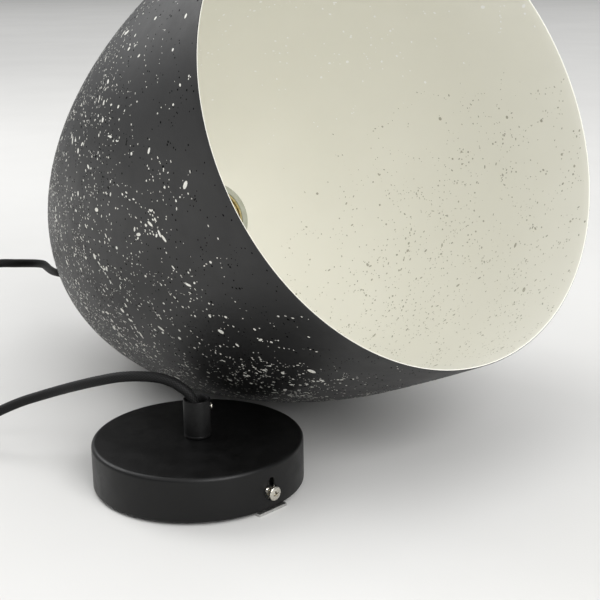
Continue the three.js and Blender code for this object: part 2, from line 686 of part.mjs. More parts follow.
const coilLow = TIE_THICKNESS + GAP;
const coilHigh = coilLow + 2 * CORD_RADIUS * COIL_LAYERS;
const coilHalfWidth = CORD_RADIUS * COIL_TURNS_ACROSS;

// The outer shape of the coil's turns, with rounded edges.
function coil() {
  const inner = COIL_MEAN_RADIUS - coilHalfWidth;
  const outer = COIL_MEAN_RADIUS + coilHalfWidth;
  const edge = CORD_RADIUS / 2;
  return turned([
    [inner + edge, coilLow], [outer - edge, coilLow], [outer, coilLow + edge], [outer, coilHigh - edge],
    [outer - edge, coilHigh], [inner + edge, coilHigh], [inner, coilHigh - edge], [inner, coilLow + edge],
  ], 36);
}

// A flat strap round the coil's turns, which curve a little within its width.
function coilTie() {
  const near = Math.sqrt((COIL_MEAN_RADIUS - coilHalfWidth) ** 2 - (TIE_WIDTH / 2) ** 2) - GAP;
  const far = COIL_MEAN_RADIUS + coilHalfWidth + GAP;
  const width = far - near;
  const height = coilHigh - coilLow + 2 * GAP;
  const outside = block(width + 2 * TIE_THICKNESS, TIE_WIDTH, height + 2 * TIE_THICKNESS);
  const inside = block(width, 2 * TIE_WIDTH, height);
  return cut(outside, inside).translate((near + far) / 2, 0, (coilLow + coilHigh) / 2);
}

function cord() {
  const coiled = new THREE.Group();
  coiled.add(part('cord_coil', coil(), 'textile'), part('coil_tie', coilTie(), 'nylon'));
  coiled.position.set(COIL_X, COIL_Y, 0);
  const group = new THREE.Group();
  const step = 5 * CORD_RADIUS;
  group.add(
    part('cord_shade_run', tube(SHADE_RUN, CORD_RADIUS, step), 'textile'),
    part('cord_rose_run', tube(ROSE_RUN, CORD_RADIUS, step), 'textile'),
    coiled,
  );
  return group;
}

const group = new THREE.Group();
group.add(laidDown(hangingParts()), rose(), cord());

export default group;
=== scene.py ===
import json
import math
import random
from math import cos, pi, radians, sin, sqrt

import bmesh
import bpy
import numpy as np
from mathutils import Matrix, Vector


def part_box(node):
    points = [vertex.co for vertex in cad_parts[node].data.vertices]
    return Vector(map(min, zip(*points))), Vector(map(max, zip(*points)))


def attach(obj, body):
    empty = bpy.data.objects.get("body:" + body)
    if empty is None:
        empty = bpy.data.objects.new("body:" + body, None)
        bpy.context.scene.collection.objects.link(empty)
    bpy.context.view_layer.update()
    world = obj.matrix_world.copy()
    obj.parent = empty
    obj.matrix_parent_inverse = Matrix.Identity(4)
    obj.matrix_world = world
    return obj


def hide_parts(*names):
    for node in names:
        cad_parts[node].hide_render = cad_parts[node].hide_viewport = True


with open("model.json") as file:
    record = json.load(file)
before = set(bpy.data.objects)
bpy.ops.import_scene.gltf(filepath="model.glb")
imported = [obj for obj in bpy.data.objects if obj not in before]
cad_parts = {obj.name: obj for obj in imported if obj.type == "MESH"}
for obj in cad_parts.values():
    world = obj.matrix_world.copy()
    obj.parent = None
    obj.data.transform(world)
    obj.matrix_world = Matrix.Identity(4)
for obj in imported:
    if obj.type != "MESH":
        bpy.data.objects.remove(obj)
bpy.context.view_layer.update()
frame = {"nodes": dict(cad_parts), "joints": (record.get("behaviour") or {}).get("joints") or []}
scene = bpy.context.scene
scene.view_settings.view_transform = "Standard"


# ---- Camera ----
# It stands low in front of the lamp, looking a little down, with a moderate telephoto lens.
EYE = (-0.00395, -0.7509, 0.288)
LOOK_DOWN = 16.01
ROLL = 0.62
LENS_MM = 72
SENSOR_MM = 36
SIGHT_LIMIT = 60
camera = bpy.data.cameras.new("camera")
camera.lens = LENS_MM
camera.sensor_width = SENSOR_MM
camera.clip_end = SIGHT_LIMIT
eye = bpy.data.objects.new("camera", camera)
scene.collection.objects.link(eye)
tilted = Matrix.Rotation(radians(90 - LOOK_DOWN), 4, "X") @ Matrix.Rotation(radians(-ROLL), 4, "Z")
eye.matrix_world = Matrix.Translation(EYE) @ tilted
scene.camera = eye


# ---- Table and light ----
# A wide pale cloth, lit by a bright ceiling, by soft lamps to the front right and the back left, and by a dim
# pale room.
CLOTH_RADIUS = 9.0
CLOTH_DROP = 0.0002
ROOM_COLOUR = (0.97, 0.985, 1.0, 1)
ROOM_STRENGTH = 0.32


def new_material(name, roughness=0.5, metallic=0.0, specular=0.5):
    made = bpy.data.materials.new(name)
    made.use_nodes = True
    shader = made.node_tree.nodes["Principled BSDF"]
    shader.inputs["Roughness"].default_value = roughness
    shader.inputs["Metallic"].default_value = metallic
    shader.inputs["Specular IOR Level"].default_value = specular
    return made, shader


def node(material, kind, **settings):
    made = material.node_tree.nodes.new(kind)
    for name, value in settings.items():
        if name in made.inputs:
            made.inputs[name].default_value = value
        else:
            setattr(made, name, value)
    return made


def wire(material, source, target):
    material.node_tree.links.new(source, target)


def grain(material, scale, detail=4.0):
    """Noise over the piece's own coordinates."""
    spread = node(material, "ShaderNodeTexCoord")
    made = node(material, "ShaderNodeTexNoise", Scale=scale, Detail=detail, Roughness=0.6)
    wire(material, spread.outputs["Object"], made.inputs["Vector"])
    return made.outputs["Fac"]


def coloured(material, shader, fac, dark, light, low=0.3, high=0.7):
    """Runs the base colour from dark to light as fac goes from low to high."""
    ramp = node(material, "ShaderNodeValToRGB")
    ramp.color_ramp.elements[0].position = low
    ramp.color_ramp.elements[0].color = (*dark, 1)
    ramp.color_ramp.elements[1].position = high
    ramp.color_ramp.elements[1].color = (*light, 1)
    wire(material, fac, ramp.inputs["Fac"])
    wire(material, ramp.outputs["Color"], shader.inputs["Base Color"])


def bumped(material, shader, height, strength, depth):
    bump = node(material, "ShaderNodeBump", Strength=strength, Distance=depth)
    wire(material, height, bump.inputs["Height"])
    wire(material, bump.outputs["Normal"], shader.inputs["Normal"])


def put(bm, name, materials, smooth=40):
    """A finished mesh becomes an object at the origin. An edge is sharp past the angle smooth, in degrees."""
    mesh = bpy.data.meshes.new(name)
    bm.to_mesh(mesh)
    bm.free()
    for material in materials:
        mesh.materials.append(material)
    mesh.shade_smooth()
    if smooth is not None:
        mesh.set_sharp_from_angle(angle=radians(smooth))
    made = bpy.data.objects.new(name, mesh)
    scene.collection.objects.link(made)
    return made


cloth, cloth_shader = new_material("cloth", roughness=0.9, specular=0.1)
coloured(cloth, cloth_shader, grain(cloth, 3.0), (0.655, 0.65, 0.635), (0.69, 0.685, 0.67))
bumped(cloth, cloth_shader, grain(cloth, 900.0, detail=2.0), 0.1, 0.0005)
floor_mesh = bmesh.new()
bmesh.ops.create_circle(floor_mesh, cap_ends=True, segments=96, radius=CLOTH_RADIUS)
bmesh.ops.translate(floor_mesh, verts=floor_mesh.verts, vec=(0, 0, -CLOTH_DROP))
floor = put(floor_mesh, "floor", [cloth])

room = bpy.data.worlds.new("room")
room.use_nodes = True
glow = room.node_tree.nodes["Background"]
glow.inputs["Color"].default_value = ROOM_COLOUR
glow.inputs["Strength"].default_value = ROOM_STRENGTH
scene.world = room


def soft_light(name, place, aim, size, power):
    """A square light at a place, turned to its aim, with its size in metres and its power in watts."""
    lamp = bpy.data.lights.new(name, "AREA")
    lamp.shape = "SQUARE"
    lamp.size = size
    lamp.energy = power
    made = bpy.data.objects.new(name, lamp)
    made.location = place
    made.rotation_euler = (Vector(aim) - Vector(place)).to_track_quat("-Z", "Y").to_euler()
    scene.collection.objects.link(made)


soft_light("ceiling_light", (0.1, 0.6, 5.0), (0.1, 0.6, 0), 14.0, 540)
soft_light("front_light", (1.0, -1.8, 1.3), (0, 0, 0.12), 1.3, 39)
soft_light("left_light", (-1.5, 0.9, 1.5), (0, 0, 0.15), 1.2, 17)


# ---- Textile cord ----
# One black flexible cord, two cores and earth in a braided textile sleeve 6 mm thick. It leaves the shade's
# grip, winds into a tied coil on the table and goes up into the rose's grip, all along one smooth line.
MM = 0.001
CORD_RADIUS = 0.003
CORD_SIDES = 36
CORD_STEP = 0.0006
COIL_MIDDLE = (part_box("cord_coil")[0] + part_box("cord_coil")[1]) / 2
COIL_TURNS = 4.25
TURNS_IN = 2
TURNS_DOWN = 0.25
POINTS_A_TURN = 48
OUTER_RING = 0.040
INNER_RING = 0.028
RING_SPACING = 0.006
UPPER_LAYER = 0.010
LOWER_LAYER = 0.004
SHADE_RUN = [
    (-147.1, 166.1, 53.8), (-150.4, 168.6, 52), (-153.7, 171.2, 50.1), (-156.7, 174, 48.2),
    (-161.5, 178.6, 45.4), (-165.5, 182.8, 43), (-172.5, 186.8, 41.2), (-182.5, 187.5, 41.5),
    (-192, 182.5, 43.8), (-198.5, 172, 48.5), (-199.5, 158, 54.5), (-198, 141, 61),
    (-196.5, 124, 67), (-197, 107, 72), (-200, 92, 76), (-206.5, 80.5, 79),
    (-217, 74.5, 80.5), (-230, 71, 78.5), (-244, 66.5, 72.5), (-258, 58.5, 62.5),
    (-272, 47, 49), (-284, 33, 35.5), (-293.5, 18, 23.5), (-299, 7, 15.5),
    (-300.8, 1, 12.3),
]
ROSE_RUN = [
    (-62.8, -116.7, 35.6), (-62.9, -116.7, 37.4), (-63.5, -117, 40.5), (-64.2, -117.1, 43.8),
    (-64.8, -117.3, 47.5), (-66.5, -117.3, 51.6), (-70.7, -117, 55.4), (-75.8, -116.2, 58.6),
    (-83, -115.2, 60.8), (-92, -114, 61.5), (-105, -111.5, 60.5), (-118, -106.5, 56.8),
    (-132, -96.5, 50.5), (-146, -84, 43), (-159.5, -75.5, 36.5), (-172, -72, 31.5),
    (-184, -72, 26.5), (-197, -70.5, 19.5), (-210, -68, 12), (-224, -64.5, 6),
    (-238.2, -62.2, 4),
]


def coil_point(turn):
    """Inwards on the upper layer for two turns, down, and outwards on the lower layer."""
    angle = pi + 2 * pi * turn
    if turn < TURNS_IN:
        radius, height = OUTER_RING - RING_SPACING * turn, UPPER_LAYER
    elif turn < TURNS_IN + TURNS_DOWN:
        share = (turn - TURNS_IN) / TURNS_DOWN
        fall = UPPER_LAYER - LOWER_LAYER
        radius, height = INNER_RING, UPPER_LAYER - fall * share * share * (3 - 2 * share)
    else:
        radius, height = INNER_RING + RING_SPACING * (turn - TURNS_IN - TURNS_DOWN), LOWER_LAYER
    return Vector((COIL_MIDDLE.x + radius * cos(angle), COIL_MIDDLE.y + radius * sin(angle), height))


def even_route(points, step):
    """A centripetal spline through the points, cut into even steps, and its length."""
    ends = [2 * points[0] - points[1], *points, 2 * points[-1] - points[-2]]
    fine = []
    for a, b, c, d in zip(ends, ends[1:], ends[2:], ends[3:]):
        k1 = sqrt((b - a).length)
        k2 = k1 + sqrt((c - b).length)
        k3 = k2 + sqrt((d - c).length)
        for t in np.linspace(k1, k2, 16, endpoint=False):
            ab, bc, cd = a.lerp(b, t / k1), b.lerp(c, (t - k1) / (k2 - k1)), c.lerp(d, (t - k2) / (k3 - k2))
            abc, bcd = ab.lerp(bc, t / k2), bc.lerp(cd, (t - k1) / (k3 - k1))
            fine.append(abc.lerp(bcd, (t - k1) / (k2 - k1)))
    line = np.array([*fine, points[-1]], float)
    run = np.concatenate([[0], np.cumsum(np.linalg.norm(np.diff(line, axis=0), axis=1))])
    at = np.linspace(0, run[-1], int(run[-1] / step) + 1)
    return np.stack([np.interp(at, run, line[:, k]) for k in range(3)], axis=1), run[-1]


# Braid: two sets of yarns that cross over and under each other, each a rounded ridge, in near-black polyester.
CARRIERS = 12
PICK = 0.0021
BRAID_DEPTH = 0.00022
FIBRES_IN_YARN = 6
FIBRES_A_METRE = 2500
braid, braid_shader = new_material("braid", roughness=0.55, specular=0.16)
braid_shader.inputs["Sheen Weight"].default_value = 0.02
braid_shader.inputs["Sheen Roughness"].default_value = 0.4


def cord_tube(name, line, radius, sides, step, material):
    """A closed braided tube along the line. Its UV map runs once round it, and along it in metres."""
    ahead = np.gradient(line, axis=0)
    ahead /= np.linalg.norm(ahead, axis=1)[:, None]
    side = np.cross(ahead[0], (0, 0, 1))
    angles = np.linspace(0, 2 * pi, sides, endpoint=False)
    rings = []
    for i, (point, along) in enumerate(zip(line, ahead)):
        side = side - along * (side @ along)
        side /= np.linalg.norm(side)
        left = angles / (2 * pi) * CARRIERS + i * step / PICK
        right = angles / (2 * pi) * CARRIERS - i * step / PICK
        over = np.mod(np.floor(left) + np.floor(right), 2)
        ridge = np.where(over > 0, np.sin(pi * np.mod(left, 1)), np.sin(pi * np.mod(right, 1)))
        out = (radius - BRAID_DEPTH * (1 - ridge))[:, None]
        round_way = np.outer(np.cos(angles), side) + np.outer(np.sin(angles), np.cross(along, side))
        rings.append(point + out * round_way)
    count = len(rings)
    faces = []
    around = []
    for i in range(count - 1):
        for j in range(sides):
            k = (j + 1) % sides
            faces.append((i * sides + j, i * sides + k, (i + 1) * sides + k, (i + 1) * sides + j))
            around.extend((j / sides, i * step, (j + 1) / sides, i * step))
            around.extend(((j + 1) / sides, (i + 1) * step, j / sides, (i + 1) * step))
    faces.append(tuple(range(sides))[::-1])
    faces.append(tuple(range((count - 1) * sides, count * sides)))
    around.extend([0] * (4 * sides))
    mesh = bpy.data.meshes.new(name)
    mesh.from_pydata(np.concatenate(rings).tolist(), [], faces)
    mesh.uv_layers.new(name="braid").data.foreach_set("uv", around)
    mesh.materials.append(material)
    mesh.shade_smooth()
    made = bpy.data.objects.new(name, mesh)
    scene.collection.objects.link(made)
    return made


yarns = node(braid, "ShaderNodeUVMap", uv_map="braid")
finer = node(braid, "ShaderNodeMapping")
finer.inputs["Scale"].default_value = (CARRIERS * FIBRES_IN_YARN, FIBRES_A_METRE, 1)
wire(braid, yarns.outputs["UV"], finer.inputs["Vector"])
fibres = node(braid, "ShaderNodeTexNoise", Scale=1.0, Detail=2.0)
wire(braid, finer.outputs["Vector"], fibres.inputs["Vector"])
pattern = node(braid, "ShaderNodeSeparateXYZ")
wire(braid, yarns.outputs["UV"], pattern.inputs["Vector"])


def maths(material, operation, first, second=0.0):
    """One step of arithmetic on numbers or on the outputs of other steps."""
    made = node(material, "ShaderNodeMath", operation=operation)
    for socket, value in zip(made.inputs, (first, second)):
        if isinstance(value, (int, float)):
            socket.default_value = value
        else:
            wire(material, value, socket)
    return made.outputs[0]


turned_by = maths(braid, "MULTIPLY", pattern.outputs["X"], CARRIERS)
moved_by = maths(braid, "MULTIPLY", pattern.outputs["Y"], 1 / PICK)
left_yarn = maths(braid, "ADD", turned_by, moved_by)
right_yarn = maths(braid, "SUBTRACT", turned_by, moved_by)
crossing = maths(braid, "ADD", maths(braid, "FLOOR", left_yarn), maths(braid, "FLOOR", right_yarn))
left_over = maths(braid, "PINGPONG", crossing, 1.0)
right_over = maths(braid, "SUBTRACT", 1.0, left_over)
left_ridge = maths(braid, "SINE", maths(braid, "MULTIPLY", maths(braid, "FRACT", left_yarn), pi))
right_ridge = maths(braid, "SINE", maths(braid, "MULTIPLY", maths(braid, "FRACT", right_yarn), pi))
raised = maths(braid, "MULTIPLY", left_ridge, left_over)
raised = maths(braid, "ADD", raised, maths(braid, "MULTIPLY", right_ridge, right_over))
# Painted highlight and shade: the colour runs light on each yarn's ridge top and dark in the grooves between the
# yarns, mixed with a real fibre tone from the noise.
painted_ridge_light = maths(braid, "MULTIPLY", raised, maths(braid, "ADD", fibres.outputs["Fac"], 0.5))
coloured(braid, braid_shader, painted_ridge_light, (0.0004, 0.0004, 0.0004), (0.019, 0.019, 0.019), low=0.4, high=1.0)
bumped(braid, braid_shader, fibres.outputs["Fac"], 0.5, 0.00012)

turns = [coil_point(i / POINTS_A_TURN) for i in range(int(COIL_TURNS * POINTS_A_TURN) + 1)]
shade_end = [Vector(p) * MM for p in SHADE_RUN]
rose_end = [Vector(p) * MM for p in reversed(ROSE_RUN)]
cord_line, cord_length = even_route([*shade_end, *turns, *rose_end], CORD_STEP)
textile_cord = cord_tube("textile_cord", cord_line, CORD_RADIUS, CORD_SIDES, CORD_STEP, braid)
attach(textile_cord, "root")
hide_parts("cord_shade_run", "cord_coil", "cord_rose_run")


# ---- Coil tie ----
# A soft black woven nylon strap 9 mm wide, wrapped once round the coil's turns and closed on itself.
TIE_WIDTH = 0.0088
TIE_THICKNESS = 0.0007
TIE_CORNER = 0.0028
TIE_INSET = 0.0004
TIE_ROWS = 6
tie_low, tie_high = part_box("coil_tie")
tie_middle = (tie_low + tie_high) / 2
strap, strap_shader = new_material("strap_weave", roughness=0.8, specular=0.3)
coloured(strap, strap_shader, grain(strap, 1500.0), (0.008, 0.008, 0.009), (0.028, 0.028, 0.03))
bumped(strap, strap_shader, grain(strap, 2600.0, detail=1.0), 0.6, 0.0003)


def strap_loop():
    bm = bmesh.new()
    half_x = (tie_high.x - tie_low.x) / 2 - TIE_INSET - TIE_CORNER
    half_z = (tie_high.z - tie_low.z) / 2 - TIE_INSET - TIE_CORNER
    outline = []
    for x, z, start in ((1, 1, 0), (-1, 1, 90), (-1, -1, 180), (1, -1, 270)):
        for i in range(7):
            angle = radians(start + 15 * i)
            outline.append((x * half_x + TIE_CORNER * cos(angle), z * half_z + TIE_CORNER * sin(angle)))
    ring = [bm.verts.new((x, -TIE_WIDTH / 2, z)) for x, z in outline]
    edges = [bm.edges.new(pair) for pair in zip(ring, ring[1:] + ring[:1])]
    for i in range(TIE_ROWS):
        grown = bmesh.ops.extrude_edge_only(bm, edges=edges)["geom"]
        fresh = [v for v in grown if isinstance(v, bmesh.types.BMVert)]
        bmesh.ops.translate(bm, verts=fresh, vec=(0, TIE_WIDTH / TIE_ROWS, 0))
        lines = [e for e in grown if isinstance(e, bmesh.types.BMEdge)]
        edges = [e for e in lines if all(v in fresh for v in e.verts)]
    bmesh.ops.recalc_face_normals(bm, faces=bm.faces)
    bmesh.ops.translate(bm, verts=bm.verts, vec=tie_middle)
    return bm


tie = put(strap_loop(), "coil_strap", [strap])
thick = tie.modifiers.new("thickness", "SOLIDIFY")
thick.thickness = TIE_THICKNESS
thick.offset = 0
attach(tie, "root")
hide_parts("coil_tie")


# ---- Shade ----
# Spun steel, 1 mm thick: a deep dome that draws in a little at its mouth. Charcoal paint outside, cream enamel
# inside and over the cut edge. Everything in it is set out from its seat, on the axis that its ring turns on.
HOLDER_FRONT = 0.1417
SHADE_RADIUS = 0.144
MOUTH_RADIUS = 0.1425
SKIRT = 0.077
DOME = 0.273
FULLNESS = 1.88
SHADE_WALL = 0.001
SEAT_RADIUS = 0.016
SEAT_HOLE = 0.0052
SHADE_SIDES = 192
LIP_PAINT = 0.1
CROWN_SHARE = 0.3
ring_joint = next(j for j in frame["joints"] if j["name"] == "ring_turn")
mouth_way = Vector(ring_joint["axis"]).normalized()
seat = Vector(ring_joint["pos_m"]) - mouth_way * HOLDER_FRONT
across = Vector((-mouth_way.y, mouth_way.x, 0)).normalized()
up = -mouth_way
hanging = Matrix.Translation(seat) @ Matrix((across, up.cross(across), up)).transposed().to_4x4()
seat_rise = DOME * (1 - (SEAT_RADIUS / SHADE_RADIUS) ** FULLNESS) ** (1 / FULLNESS)


def shade_line(inset, steps=56, skirt_steps=12):
    """The dome from its seat down to the widest ring, and the skirt down to the mouth."""
    start = math.asin((seat_rise / DOME) ** (FULLNESS / 2))
    line = []
    for i in range(steps + 1):
        angle = start * (1 - i / steps)
        out = (SHADE_RADIUS - inset) * max(cos(angle), 0) ** (2 / FULLNESS)
        rise = (DOME - inset) * max(sin(angle), 0) ** (2 / FULLNESS)
        line.append((out, rise - seat_rise))
    for i in range(1, skirt_steps + 1):
        share = i / skirt_steps
        draw_in = (SHADE_RADIUS - MOUTH_RADIUS) * share ** 2
        line.append((SHADE_RADIUS - inset - draw_in, -seat_rise - SKIRT * share))
    return line


def turned(outline, steps, closed=True):
    """Spins an outline of (radius, height) points round Z into a closed skin. An open one ends on the axis."""
    bm = bmesh.new()
    points = [bm.verts.new((r, 0, z)) for r, z in outline]
    pairs = list(zip(points, points[1:]))
    if closed:
        pairs.append((points[-1], points[0]))
    edges = [bm.edges.new(pair) for pair in pairs]
    bmesh.ops.spin(
        bm, geom=points + edges, cent=(0, 0, 0), axis=(0, 0, 1),
        angle=2 * pi, steps=steps, use_merge=True, use_duplicate=False,
    )
    bmesh.ops.remove_doubles(bm, verts=bm.verts, dist=1e-6)
    bmesh.ops.recalc_face_normals(bm, faces=bm.faces)
    return bm


def roughened(material, shader, fac, low, high):
    spread = node(material, "ShaderNodeMapRange")
    spread.inputs["From Min"].default_value = 0.3
    spread.inputs["From Max"].default_value = 0.7
    spread.inputs["To Min"].default_value = low
    spread.inputs["To Max"].default_value = high
    wire(material, fac, spread.inputs["Value"])
    wire(material, spread.outputs["Result"], shader.inputs["Roughness"])


outside = shade_line(0)
inside = shade_line(SHADE_WALL)[::-1]
outside[0] = (SEAT_RADIUS, 0)
inside[-1] = (SEAT_RADIUS - SHADE_WALL, -SHADE_WALL)
lip = SHADE_WALL / 2
mouth = outside.pop()
inside.pop(0)
edge = [
    (mouth[0] - lip + lip * cos(radians(a)), mouth[1] + lip - lip * sin(radians(a)))
    for a in range(0, 181, 20)
]
shade_skin = turned([(SEAT_HOLE, 0), *outside, *edge, *inside, (SEAT_HOLE, -SHADE_WALL)], SHADE_SIDES)
for face in shade_skin.faces:
    middle = face.calc_center_median()
    outward = face.normal.x * middle.x + face.normal.y * middle.y
    outward /= sqrt(middle.x ** 2 + middle.y ** 2)
    on_lip = middle.z < mouth[1] + lip
    painted = outward > LIP_PAINT if on_lip else outward + CROWN_SHARE * face.normal.z > 0
    face.material_index = 0 if painted else 1
bmesh.ops.transform(shade_skin, matrix=hanging, verts=shade_skin.verts)

charcoal, charcoal_shader = new_material("charcoal_paint", specular=0.5)
coloured(charcoal, charcoal_shader, grain(charcoal, 14.0), (0.010, 0.010, 0.0103), (0.015, 0.015, 0.015))
roughened(charcoal, charcoal_shader, grain(charcoal, 60.0), 0.44, 0.54)
bumped(charcoal, charcoal_shader, grain(charcoal, 1400.0, detail=3.0), 0.25, 0.0002)
cream, cream_shader = new_material("cream_enamel", specular=0.35)
coloured(cream, cream_shader, grain(cream, 9.0), (0.80, 0.79, 0.715), (0.83, 0.82, 0.75))
roughened(cream, cream_shader, grain(cream, 40.0), 0.42, 0.55)
bumped(cream, cream_shader, grain(cream, 1100.0, detail=3.0), 0.12, 0.0002)
shade = put(shade_skin, "shade_spinning", [charcoal, cream])
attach(shade, "root")
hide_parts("shade")


# ---- Spatter on the shade ----
# Drops of cream enamel thrown onto the paint before it dries: long ones, dots and strings of dots, thick
# towards the top of the dome and thin near the mouth, over a scatter of black grit. Each drop is a low
# flat-topped bead.
DROP_SINK = 0.00004
DROP_TOP = 0.62
DROPS_A_BATCH = 300
BARE_AT_SEAT = 0.008
BARE_AT_MOUTH = 0.002
STRING_GAP = (0.0022, 0.0045)
STRING_COUNT = (3, 9)
STRAY = 0.0011
PATCH_COUNT = 70


def enamel(name, dark, light, rough):
    made, shader = new_material(name, roughness=rough, specular=0.4)
    coloured(made, shader, grain(made, 260.0), dark, light)
    bumped(made, shader, grain(made, 3000.0, detail=2.0), 0.2, 0.0001)
    return made


white_drop = enamel("cream_drops", (0.76, 0.75, 0.68), (0.90, 0.89, 0.83), 0.35)
black_grit = enamel("black_grit", (0.002, 0.002, 0.002), (0.004, 0.004, 0.004), 0.9)
black_grit.node_tree.nodes["Principled BSDF"].inputs["Specular IOR Level"].default_value = 0.1
grey_drop = enamel("grey_drops", (0.36, 0.35, 0.285), (0.47, 0.455, 0.38), 0.45)
pale_drop = enamel("pale_drops", (0.93, 0.93, 0.92), (0.97, 0.97, 0.96), 0.3)
outer_line = np.array(shade_line(0, 240, 60))
inner_line = np.array(shade_line(SHADE_WALL, 240, 60))


def ease(value, low, high):
    share = min(max((value - low) / (high - low), 0), 1)
    return share * share * (3 - 2 * share)


def spot(line, run, turn):
    """The place at a distance down the line and an angle round the axis, with its three ways and its radius."""
    steps = np.concatenate([[0], np.cumsum(np.linalg.norm(np.diff(line, axis=0), axis=1))])
    i = max(min(int(np.searchsorted(steps, run)), len(line) - 1), 1)
    share = (run - steps[i - 1]) / (steps[i] - steps[i - 1])
    r, z = line[i - 1] + (line[i] - line[i - 1]) * share
    down = (line[i] - line[i - 1]) / np.linalg.norm(line[i] - line[i - 1])
    round_way = Vector((-sin(turn), cos(turn), 0))
    down_way = Vector((down[0] * cos(turn), down[0] * sin(turn), down[1]))
    out_way = round_way.cross(down_way)
    return Vector((r * cos(turn), r * sin(turn), z)), round_way, down_way, out_way, r


def drop(bm, line, side, run, turn, half, length, lean, height, sides):
    """A flat bead on one side of the wall. half and length are half its width and length. lean turns it."""
    middle, round_way, down_way, out_way, _ = spot(line, run, turn)
    out_way = out_way * side
    first = round_way * cos(lean) + down_way * sin(lean)
    second = out_way.cross(first)
    base = middle - out_way * DROP_SINK
    stretched = Matrix((first * length, second * half, out_way * height)).transposed().to_4x4()
    bmesh.ops.create_cone(
        bm, cap_ends=True, segments=sides, radius1=1, radius2=DROP_TOP, depth=1,
        matrix=Matrix.Translation(base) @ stretched @ Matrix.Translation((0, 0, 0.5)),
    )


def joined(parts):
    """One mesh from many small ones, which is quicker than one that grows drop by drop."""
    whole = bmesh.new()
    for bm in parts:
        mesh = bpy.data.meshes.new("part")
        bm.to_mesh(mesh)
        bm.free()
        whole.from_mesh(mesh)
        bpy.data.meshes.remove(mesh)
    return whole


def spatter(name, line, side, material, draw, count, density, sizes, height, longest, string_share):
    """Drops strewn by chance, kept where the density allows, some of them in short strings."""
    total = float(np.sum(np.linalg.norm(np.diff(line, axis=0), axis=1)))
    parts = [bmesh.new()]
    placed = 0
    while placed < count:
        run = draw.uniform(0.012, total - 0.003)
        turn = draw.uniform(0, 2 * pi)
        r = spot(line, run, turn)[4]
        if draw.random() > r / SHADE_RADIUS or draw.random() > density(run, turn, total):
            continue
        strung = draw.random() < string_share
        heading = draw.uniform(0, 2 * pi)
        gap = draw.uniform(*STRING_GAP)
        for k in range(draw.randint(*STRING_COUNT) if strung else 1):
            half = min(draw.lognormvariate(math.log(sizes[0]), sizes[1]), sizes[2])
            if strung:
                half *= 0.75
            length = half * draw.uniform(1.0, longest if draw.random() < 0.45 else 1.4)
            here = run + gap * k * sin(heading) + draw.gauss(0, STRAY)
            round_here = turn + (gap * k * cos(heading) + draw.gauss(0, STRAY)) / max(r, 0.02)
            if not BARE_AT_SEAT < here < total - BARE_AT_MOUTH:
                continue
            lean = heading + draw.gauss(0, 0.5)
            sides = 8 if half > 0.0009 else 6
            drop(parts[-1], line, side, here, round_here, half, length, lean, height, sides)
            placed += 1
            if placed % DROPS_A_BATCH == 0:
                parts.append(bmesh.new())
    bm = joined(parts)
    bmesh.ops.transform(bm, matrix=hanging, verts=bm.verts)
    made = put(bm, name, [material], smooth=50)
    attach(made, "root")
    return made


chance = random.Random(11)
patches = [
    (chance.uniform(0.03, 0.34), chance.uniform(0, 2 * pi), chance.uniform(0.012, 0.035))
    for _ in range(PATCH_COUNT)
]


def patchy(run, turn):
    """More drops fall inside the patches that a brush has thrown at."""
    near = 0.0
    for at, way, size in patches:
        apart = math.hypot(run - at, SHADE_RADIUS * math.remainder(turn - way, 2 * pi))
        near = max(near, math.exp(-((apart / size) ** 2)))
    return near


def outer_density(run, turn, total):
    """Thin near the mouth, thick from 105 mm above it."""
    from_mouth = total - run
    return (0.09 + 0.91 * ease(from_mouth, 0.015, 0.105)) * (0.45 + 0.55 * patchy(run, turn))


def grit_density(run, turn, total):
    return 0.4 + 0.6 * patchy(run, turn + 1)


# The sizes are the usual half width, its spread and its limit. After them come the height, the longest length
# for its width, and the share that falls in strings.
spatter(
    "shade_cream_drops", outer_line, 1, white_drop, chance, 9200, outer_density,
    (0.00047, 0.5, 0.0019), 0.0001, 2.4, 0.3,
)
spatter(
    "shade_black_grit", outer_line, 1, black_grit, chance, 6800, grit_density,
    (0.0004, 0.25, 0.0008), 0.00022, 1.3, 0.1,
)
spatter(
    "shade_cream_specks", outer_line, 1, white_drop, chance, 7000, outer_density,
    (0.00034, 0.3, 0.0009), 0.00008, 2.0, 0.4,
)


# Inside, the same enamel shows grey drops on the lower wall and a few paler ones on the upper wall.
def lower_wall(run, turn, total):
    return ease(sin(turn), -0.5, 0.6) * (0.45 + 0.55 * patchy(run, turn)) * ease(run, 0.10, 0.2)


def upper_wall(run, turn, total):
    return ease(-sin(turn), 0.1, 0.8) * ease(run, 0.10, 0.2)


spatter(
    "shade_grey_drops", inner_line, -1, grey_drop, chance, 5000, lower_wall,
    (0.00038, 0.4, 0.0013), 0.00008, 2.2, 0.25,
)
spatter(
    "shade_pale_drops", inner_line, -1, pale_drop, chance, 500, upper_wall,
    (0.0006, 0.35, 0.0014), 0.00008, 1.6, 0.1,
)


# ---- Cord grips ----
# Moulded black nylon, one on the shade's seat and one on the rose. Each has a base that screws onto its tube, a
# bore that flares at its top and a hole through its side for the screw that pinches the cord.
GRIP_RADIUS = 0.0077
GRIP_HEIGHT = 0.022
GRIP_BORE = 0.0056
GRIP_BASE = 0.0052
GRIP_BASE_HEIGHT = 0.0083
GRIP_GROOVE = 0.00015
GRIP_GAP = 0.0003
GRIP_TURN = radians(20)
CLAMP_HEIGHT = 0.0164
CLAMP_HOLE = 0.0022
nylon, nylon_shader = new_material("black_nylon", specular=0.2)
coloured(nylon, nylon_shader, grain(nylon, 500.0), (0.004, 0.004, 0.004), (0.008, 0.008, 0.008))
roughened(nylon, nylon_shader, grain(nylon, 300.0), 0.32, 0.5)
bumped(nylon, nylon_shader, grain(nylon, 2200.0, detail=2.0), 0.15, 0.0002)


